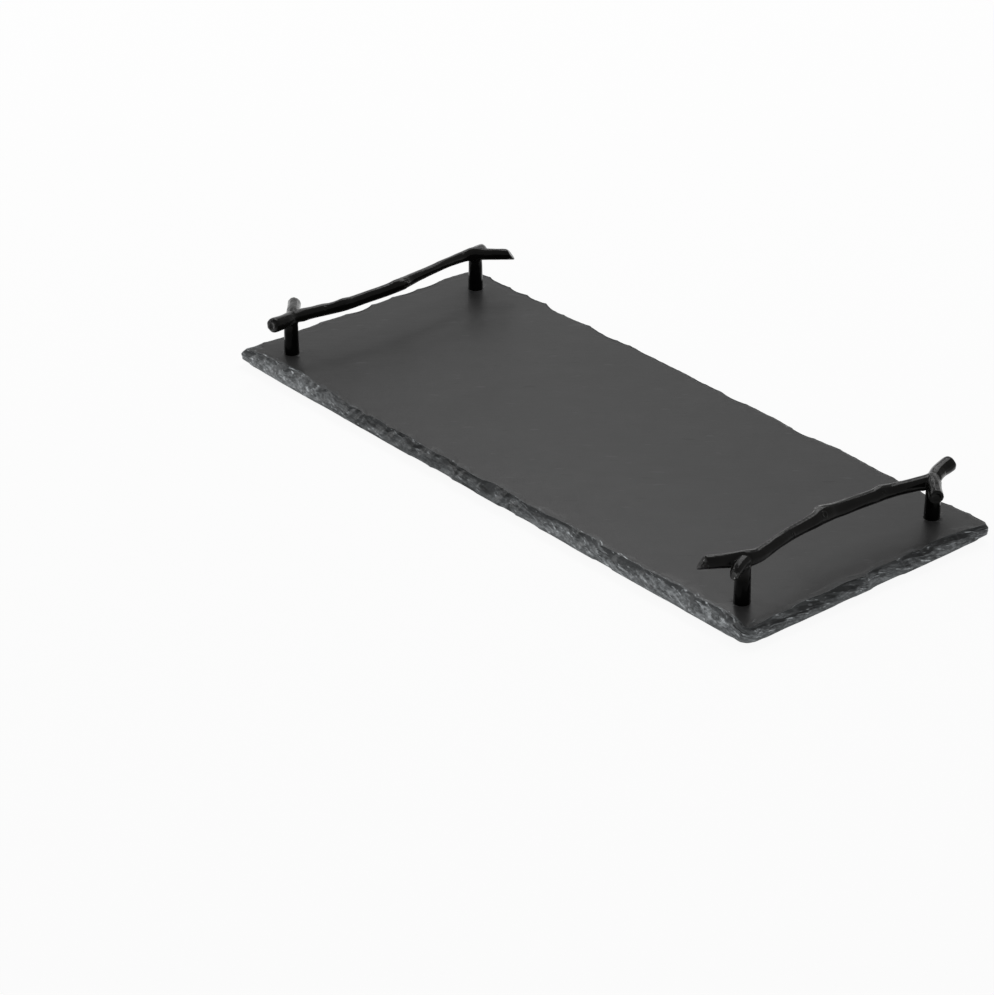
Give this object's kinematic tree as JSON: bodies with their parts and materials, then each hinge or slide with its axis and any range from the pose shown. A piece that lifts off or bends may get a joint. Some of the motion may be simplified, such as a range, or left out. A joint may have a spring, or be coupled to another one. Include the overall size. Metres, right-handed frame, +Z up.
{
  "type": "slate serving board",
  "caption": "Rectangular slate serving board with chipped edges and a raised black twig handle on posts across each end.",
  "frame": {"origin": "under the middle of the board, on the surface that its feet stand on", "axes": "+X along the board, towards the handle whose fork lies at the front; +Y across the board, towards the back; +Z up"},
  "size_m": [0.401, 0.169, 0.0366],
  "materials": {
    "slate": "matt riven slate, dark grey, its chipped edges lighter and rough",
    "black_casting": "black lacquer, semi-gloss",
    "black_post": "black lacquer, semi-gloss",
    "steel": "zinc plated",
    "foot_rubber": "matt"
  },
  "bodies": {
    "root": {"slate_slab": "slate", "left_twig_handle": "black_casting", "right_twig_handle": "black_casting", "left_front_post": "black_post", "left_back_post": "black_post", "right_front_post": "black_post", "right_back_post": "black_post", "left_front_screw": "steel", "left_back_screw": "steel", "right_front_screw": "steel", "right_back_screw": "steel", "left_front_washer": "steel", "left_back_washer": "steel", "right_front_washer": "steel", "right_back_washer": "steel", "left_front_foot": "foot_rubber", "left_back_foot": "foot_rubber", "right_front_foot": "foot_rubber", "right_back_foot": "foot_rubber"}
  },
  "joints": []
}
